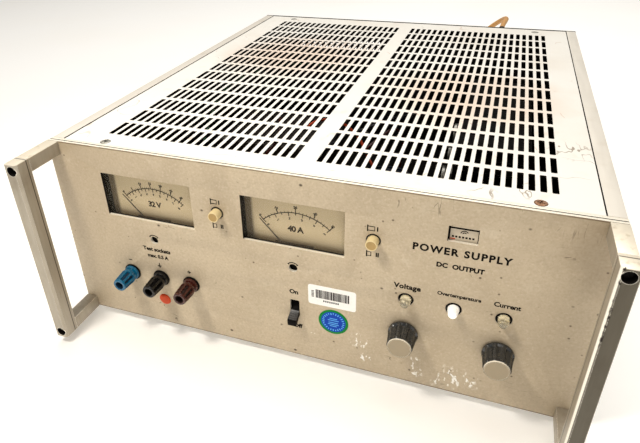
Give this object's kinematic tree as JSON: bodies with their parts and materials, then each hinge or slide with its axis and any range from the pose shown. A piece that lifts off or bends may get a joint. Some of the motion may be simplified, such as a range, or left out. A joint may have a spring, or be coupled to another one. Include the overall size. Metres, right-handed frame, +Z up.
{
  "type": "bench power supply",
  "caption": "Rack-style bench power supply with analogue meters, push buttons, control knobs, lamps, binding posts, front handles, slotted cover and mains cord.",
  "frame": {"origin": "bottom centre of the bounding box, on the plane that the four feet stand on, the mains cord left out", "axes": "+X to the right seen from the front, +Y from the front panel to the rear panel, +Z up"},
  "size_m": [0.436, 0.6698, 0.185],
  "materials": {
    "front_panel": "satin anodised, worn",
    "cover": "satin paint",
    "profile": "satin",
    "handle": "satin, nicked",
    "rubber": "matt",
    "black_plastic": "semi-matt",
    "dial": "matt, aged",
    "needle": "matt black",
    "glass": "clear",
    "ivory_plastic": "glossy, yellowed",
    "orange_plastic": "semi-matt",
    "blue_plastic": "satin",
    "brown_plastic": "satin",
    "brass": "turned",
    "steel": "plated",
    "knob": "satin",
    "knob_cap": "satin",
    "lamp": "glossy, translucent",
    "transformer": "varnished",
    "heat_sink": "extruded",
    "capacitor": "sleeved can",
    "board": "solder mask",
    "cord": "satin, aged tan sheath"
  },
  "bodies": {
    "cabinet": {"front_panel": "front_panel", "front_frame": "profile", "left_side_profile": "profile", "right_side_profile": "profile", "top_cover": "cover", "bottom_cover": "cover", "rear_panel": "cover", "foot_front_left": "rubber", "foot_front_right": "rubber", "foot_rear_left": "rubber", "foot_rear_right": "rubber", "left_handle_bar": "handle", "left_handle_upper_post": "handle", "left_handle_lower_post": "handle", "right_handle_bar": "handle", "right_handle_upper_post": "handle", "right_handle_lower_post": "handle", "voltmeter_housing": "black_plastic", "voltmeter_dial": "dial", "voltmeter_window": "glass", "ammeter_housing": "black_plastic", "ammeter_dial": "dial", "ammeter_window": "glass", "voltage_range_switch": "black_plastic", "current_range_switch": "black_plastic", "power_switch_body": "black_plastic", "blanking_plug": "orange_plastic", "negative_post_base": "blue_plastic", "earth_post_base": "black_plastic", "positive_post_base": "brown_plastic", "voltage_potentiometer": "steel", "current_potentiometer": "steel", "left_lamp": "lamp", "middle_lamp": "lamp", "right_lamp": "lamp", "mains_transformer": "transformer", "heat_sink": "heat_sink", "smoothing_capacitor": "capacitor", "control_board": "board", "strain_relief": "black_plastic", "mains_cord": "cord", "mains_cord_coil": "cord", "mains_plug": "black_plastic"},
    "voltmeter_movement": {"voltmeter_needle": "needle"},
    "ammeter_movement": {"ammeter_needle": "needle"},
    "voltmeter_zero": {"voltmeter_zero_screw": "black_plastic"},
    "ammeter_zero": {"ammeter_zero_screw": "black_plastic"},
    "voltage_range": {"voltage_range_button": "ivory_plastic"},
    "current_range": {"current_range_button": "ivory_plastic"},
    "power_lever": {"power_switch_lever": "black_plastic"},
    "voltage_control": {"voltage_knob": "knob", "voltage_knob_cap": "knob_cap"},
    "current_control": {"current_knob": "knob", "current_knob_cap": "knob_cap"},
    "negative_cap": {"negative_post_bush": "brass", "negative_post_cap": "blue_plastic"},
    "earth_cap": {"earth_post_bush": "brass", "earth_post_cap": "black_plastic"},
    "positive_cap": {"positive_post_bush": "brass", "positive_post_cap": "brown_plastic"}
  },
  "joints": [
    {"name": "voltmeter_needle_swing", "type": "hinge", "parent": "cabinet", "child": "voltmeter_movement", "pos_m": [-0.1284, -0.21825, 0.106], "axis": [0, 1, 0], "range_deg": [0, 84], "stiffness_Nm_per_rad": 0.00002},
    {"name": "ammeter_needle_swing", "type": "hinge", "parent": "cabinet", "child": "ammeter_movement", "pos_m": [-0.001, -0.21825, 0.106], "axis": [0, 1, 0], "range_deg": [0, 84], "stiffness_Nm_per_rad": 0.00002},
    {"name": "voltmeter_zero_turn", "type": "hinge", "parent": "cabinet", "child": "voltmeter_zero", "pos_m": [-0.1284, -0.21825, 0.1012], "axis": [0, 1, 0], "range_deg": [-60, 60]},
    {"name": "ammeter_zero_turn", "type": "hinge", "parent": "cabinet", "child": "ammeter_zero", "pos_m": [-0.001, -0.21825, 0.1012], "axis": [0, 1, 0], "range_deg": [-60, 60]},
    {"name": "voltage_range_push", "type": "slide", "parent": "cabinet", "child": "voltage_range", "axis": [0, 1, 0], "range_m": [0, 0.0045], "stiffness_N_per_m": 300, "springref_m": -0.003},
    {"name": "current_range_push", "type": "slide", "parent": "cabinet", "child": "current_range", "axis": [0, 1, 0], "range_m": [0, 0.0045], "stiffness_N_per_m": 300, "springref_m": -0.003},
    {"name": "power_lever_flip", "type": "hinge", "parent": "cabinet", "child": "power_lever", "pos_m": [-0.0006, -0.21025, 0.0596], "axis": [-1, 0, 0], "range_deg": [0, 56]},
    {"name": "voltage_knob_turn", "type": "hinge", "parent": "cabinet", "child": "voltage_control", "pos_m": [0.0895, -0.21825, 0.0607], "axis": [0, 1, 0], "range_deg": [0, 3600]},
    {"name": "current_knob_turn", "type": "hinge", "parent": "cabinet", "child": "current_control", "pos_m": [0.1596, -0.21825, 0.0607], "axis": [0, 1, 0], "range_deg": [0, 3600]},
    {"name": "negative_cap_turn", "type": "hinge", "parent": "cabinet", "child": "negative_cap", "pos_m": [-0.1574, -0.21825, 0.0614], "axis": [0, -1, 0], "range_deg": [0, 1800]},
    {"name": "earth_cap_turn", "type": "hinge", "parent": "cabinet", "child": "earth_cap", "pos_m": [-0.1275, -0.21825, 0.0614], "axis": [0, -1, 0], "range_deg": [0, 1800]},
    {"name": "positive_cap_turn", "type": "hinge", "parent": "cabinet", "child": "positive_cap", "pos_m": [-0.0973, -0.21825, 0.0614], "axis": [0, -1, 0], "range_deg": [0, 1800]}
  ]
}
